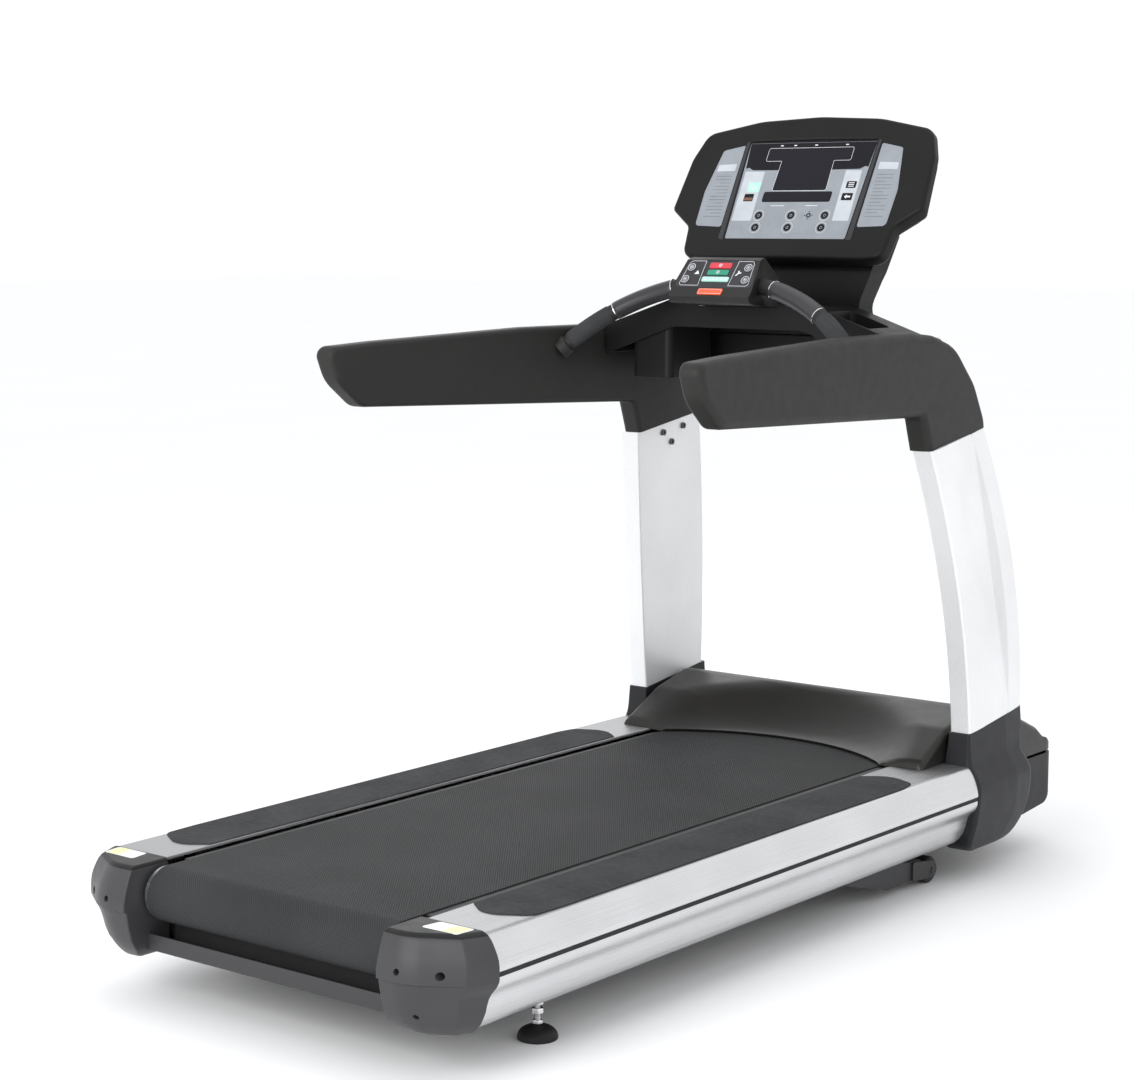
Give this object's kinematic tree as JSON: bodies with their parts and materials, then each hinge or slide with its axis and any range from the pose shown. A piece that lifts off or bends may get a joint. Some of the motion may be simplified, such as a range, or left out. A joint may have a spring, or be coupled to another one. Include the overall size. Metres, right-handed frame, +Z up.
{
  "type": "treadmill",
  "caption": "Commercial running treadmill with belt drive, incline lift, aluminium side rails, curved uprights, handrails and a leaning console.",
  "frame": {"origin": "on the floor, under the centre of the machine", "axes": "+X to the runner's right, +Y the way the runner faces, +Z up"},
  "size_m": [0.9396, 2.0994, 1.5926],
  "materials": {
    "frame_steel": "black powder coat",
    "rail_aluminium": "silver satin anodised",
    "upright_silver": "silver satin paint",
    "trim_rubber": "matt",
    "grip_rubber": "fine grained matt",
    "belt_rubber": "diamond weave, matt",
    "shell_black": "fine grained satin",
    "boot_black": "satin",
    "deck_board": "black phenolic faced board",
    "bright_steel": "turned",
    "zinc_steel": "bright zinc",
    "motor_paint": "grey enamel",
    "heatsink": "mill",
    "inlet_plastic": "matt",
    "wheel_nylon": "matt",
    "foot_rubber": "matt",
    "panel_black": "semi-gloss film",
    "overlay_silver": "satin printed film",
    "display_smoke": "smoked acrylic",
    "sensor_plate": "satin",
    "board_green": "solder mask",
    "key_red": "semi-gloss",
    "key_green": "semi-gloss",
    "key_mint": "semi-gloss",
    "key_grey": "semi-gloss",
    "key_orange": "semi-gloss"
  },
  "bodies": {
    "frame": {"main_frame": "frame_steel", "side_rail_left": "rail_aluminium", "side_rail_right": "rail_aluminium", "rail_strips": "trim_rubber", "grip_pads": "grip_rubber", "rear_cap_left": "shell_black", "rear_cap_right": "shell_black", "deck_board": "deck_board", "deck_cushions": "trim_rubber", "roller_axles": "bright_steel", "tension_bolts": "zinc_steel", "running_belt": "belt_rubber", "drive_belt": "trim_rubber", "drive_motor": "motor_paint", "motor_controller": "heatsink", "power_inlet": "inlet_plastic", "lift_motor": "motor_paint", "motor_hood": "shell_black", "front_bumper": "shell_black", "belly_pan": "shell_black", "boot_left": "boot_black", "boot_right": "boot_black", "upright_left": "upright_silver", "upright_right": "upright_silver", "upright_bolts": "frame_steel", "handrail_left": "shell_black", "handrail_right": "shell_black", "crossbar": "shell_black", "accessory_tray": "shell_black", "console_neck": "shell_black", "activity_housing": "shell_black", "activity_panel": "panel_black", "ergo_bar": "shell_black", "grip_sensors": "sensor_plate", "console_back": "shell_black", "console_bezel": "shell_black", "console_overlay": "overlay_silver", "display_window": "display_smoke", "console_board": "board_green"},
    "front_roller": {"front_roller": "bright_steel"},
    "rear_roller": {"rear_roller": "bright_steel"},
    "motor_rotor": {"motor_rotor": "bright_steel"},
    "lift_frame": {"lift_frame": "frame_steel"},
    "lift_wheel_left": {"lift_wheel_left": "wheel_nylon"},
    "lift_wheel_right": {"lift_wheel_right": "wheel_nylon"},
    "lift_screw": {"lift_screw_tube": "bright_steel"},
    "foot_left": {"levelling_foot_left": "foot_rubber"},
    "foot_right": {"levelling_foot_right": "foot_rubber"},
    "stop_key": {"stop_key": "key_red"},
    "go_key": {"go_key": "key_green"},
    "cool_down_key": {"cool_down_key": "key_mint"},
    "incline_up_key": {"incline_up_key": "key_grey"},
    "incline_down_key": {"incline_down_key": "key_grey"},
    "speed_up_key": {"speed_up_key": "key_grey"},
    "speed_down_key": {"speed_down_key": "key_grey"},
    "emergency_stop_key": {"emergency_stop_key": "key_orange"}
  },
  "joints": [
    {"name": "front_roller_spin", "type": "hinge", "parent": "frame", "child": "front_roller", "pos_m": [0, 0.7, 0.205], "axis": [-1, 0, 0], "continuous": true},
    {"name": "rear_roller_spin", "type": "hinge", "parent": "frame", "child": "rear_roller", "pos_m": [0, -0.957, 0.197], "axis": [-1, 0, 0], "continuous": true},
    {"name": "motor_spin", "type": "hinge", "parent": "frame", "child": "motor_rotor", "pos_m": [0, 0.87, 0.215], "axis": [-1, 0, 0], "continuous": true},
    {"name": "incline_lift", "type": "hinge", "parent": "frame", "child": "lift_frame", "pos_m": [0, 0.23, 0.092], "axis": [-1, 0, 0], "range_deg": [0, 37]},
    {"name": "lift_screw_travel", "type": "slide", "parent": "frame", "child": "lift_screw", "axis": [0, 1, 0], "range_m": [-0.001, 0.036]},
    {"name": "lift_wheel_left_spin", "type": "hinge", "parent": "lift_frame", "child": "lift_wheel_left", "pos_m": [-0.358, 0.568, 0.028], "axis": [-1, 0, 0], "continuous": true},
    {"name": "lift_wheel_right_spin", "type": "hinge", "parent": "lift_frame", "child": "lift_wheel_right", "pos_m": [0.358, 0.568, 0.028], "axis": [-1, 0, 0], "continuous": true},
    {"name": "levelling_foot_left_turn", "type": "hinge", "parent": "frame", "child": "foot_left", "pos_m": [-0.357, -0.709, 0], "axis": [0, 0, 1], "continuous": true},
    {"name": "levelling_foot_right_turn", "type": "hinge", "parent": "frame", "child": "foot_right", "pos_m": [0.357, -0.709, 0], "axis": [0, 0, 1], "continuous": true},
    {"name": "stop_press", "type": "slide", "parent": "frame", "child": "stop_key", "axis": [0, 0.7934, -0.6088], "range_m": [0, 0.0015], "stiffness_N_per_m": 800},
    {"name": "go_press", "type": "slide", "parent": "frame", "child": "go_key", "axis": [0, 0.7934, -0.6088], "range_m": [0, 0.0015], "stiffness_N_per_m": 800},
    {"name": "cool_down_press", "type": "slide", "parent": "frame", "child": "cool_down_key", "axis": [0, 0.7934, -0.6088], "range_m": [0, 0.0015], "stiffness_N_per_m": 800},
    {"name": "incline_up_press", "type": "slide", "parent": "frame", "child": "incline_up_key", "axis": [0, 0.7934, -0.6088], "range_m": [0, 0.0015], "stiffness_N_per_m": 800},
    {"name": "incline_down_press", "type": "slide", "parent": "frame", "child": "incline_down_key", "axis": [0, 0.7934, -0.6088], "range_m": [0, 0.0015], "stiffness_N_per_m": 800},
    {"name": "speed_up_press", "type": "slide", "parent": "frame", "child": "speed_up_key", "axis": [0, 0.7934, -0.6088], "range_m": [0, 0.0015], "stiffness_N_per_m": 800},
    {"name": "speed_down_press", "type": "slide", "parent": "frame", "child": "speed_down_key", "axis": [0, 0.7934, -0.6088], "range_m": [0, 0.0015], "stiffness_N_per_m": 800},
    {"name": "emergency_stop_press", "type": "slide", "parent": "frame", "child": "emergency_stop_key", "axis": [0, 0.7934, -0.6088], "range_m": [0, 0.002], "stiffness_N_per_m": 800}
  ],
  "couplings": [
    {"joint": "rear_roller_spin", "follows": "front_roller_spin", "ratio": 0.8305},
    {"joint": "motor_spin", "follows": "front_roller_spin", "ratio": 2.2308},
    {"joint": "lift_screw_travel", "follows": "incline_lift", "m_per_rad": 0.05405}
  ]
}
